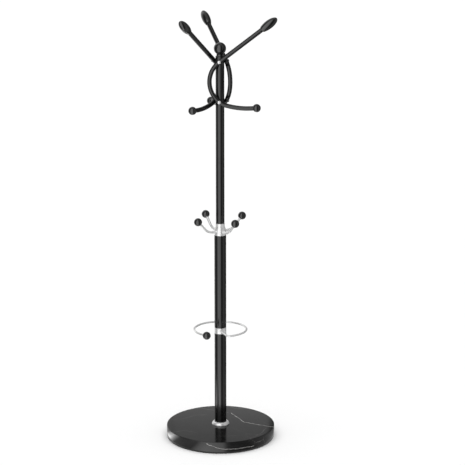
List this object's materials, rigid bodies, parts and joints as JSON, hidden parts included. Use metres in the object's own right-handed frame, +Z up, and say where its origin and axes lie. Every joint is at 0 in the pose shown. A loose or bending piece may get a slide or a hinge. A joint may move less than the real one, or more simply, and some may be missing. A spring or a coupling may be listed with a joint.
{
  "type": "standing coat rack",
  "caption": "Free-standing coat rack: round marble base, stepped black pole, bent tube arms with oval knobs, a chrome hook hub and an umbrella ring.",
  "frame": {"origin": "on the floor, at the centre of the base's underside, on the pole's axis", "axes": "+Z up along the pole; +X along the first bent tube's arm; +Y a quarter turn anticlockwise from +X seen from above"},
  "size_m": [0.4375, 0.432, 1.6865],
  "materials": {
    "black_steel": "black powder-coated steel tube, satin to semi-gloss",
    "chrome": "bright chrome plate on steel",
    "black_plastic": "moulded black plastic, glossy",
    "black_marble": "polished black marble with fine white veins",
    "zinc_steel": "zinc-plated fasteners, plugs and spacers inside the pole",
    "felt_pad": "thin anti-slip foam rubber sheet under the base"
  },
  "bodies": {
    "root": {"base_pad": "felt_pad", "marble_base": "black_marble", "base_washer": "zinc_steel", "base_bolt": "zinc_steel", "base_collar": "chrome", "lower_pole": "black_steel", "lower_pole_bottom_plug": "zinc_steel", "lower_pole_top_plug": "zinc_steel", "ring_spacer": "zinc_steel", "ring_stud": "zinc_steel", "middle_pole": "black_steel", "middle_pole_bottom_plug": "zinc_steel", "middle_pole_top_plug": "zinc_steel", "hub_spacer": "zinc_steel", "hub_stud": "zinc_steel", "upper_pole": "black_steel", "upper_pole_bottom_plug": "zinc_steel", "upper_pole_top_plug": "zinc_steel", "pole_joint_ring": "black_steel", "pole_joint_stud": "zinc_steel", "top_pole": "black_steel", "top_pole_bottom_plug": "zinc_steel", "finial_neck": "black_plastic", "finial_stud": "zinc_steel", "finial_ball": "black_plastic", "coat_arm_1": "black_steel", "arm_hook_ball_1": "black_plastic", "arm_knob_1": "black_plastic", "arm_bolt_upper_1": "chrome", "arm_bolt_lower_1": "chrome", "pole_nut_upper_1": "zinc_steel", "pole_nut_lower_1": "zinc_steel", "coat_arm_2": "black_steel", "arm_hook_ball_2": "black_plastic", "arm_knob_2": "black_plastic", "arm_bolt_upper_2": "chrome", "arm_bolt_lower_2": "chrome", "pole_nut_upper_2": "zinc_steel", "pole_nut_lower_2": "zinc_steel", "coat_arm_3": "black_steel", "arm_hook_ball_3": "black_plastic", "arm_knob_3": "black_plastic", "arm_bolt_upper_3": "chrome", "arm_bolt_lower_3": "chrome", "pole_nut_upper_3": "zinc_steel", "pole_nut_lower_3": "zinc_steel"},
    "hook_hub": {"hook_hub": "chrome", "hub_hook_1": "chrome", "hub_hook_2": "chrome", "hub_hook_3": "chrome", "hub_hook_4": "chrome", "hub_hook_ball_1": "black_plastic", "hub_hook_ball_2": "black_plastic", "hub_hook_ball_3": "black_plastic", "hub_hook_ball_4": "black_plastic"},
    "umbrella_ring": {"ring_sleeve": "chrome", "umbrella_ring": "chrome", "umbrella_ring_ball": "black_plastic"}
  },
  "joints": [
    {"name": "hook_hub_swivel", "type": "hinge", "parent": "root", "child": "hook_hub", "pos_m": [0, 0, 0.8535], "axis": [0, 0, 1], "continuous": true},
    {"name": "umbrella_ring_swivel", "type": "hinge", "parent": "root", "child": "umbrella_ring", "pos_m": [0, 0, 0.44125], "axis": [0, 0, 1], "continuous": true}
  ]
}
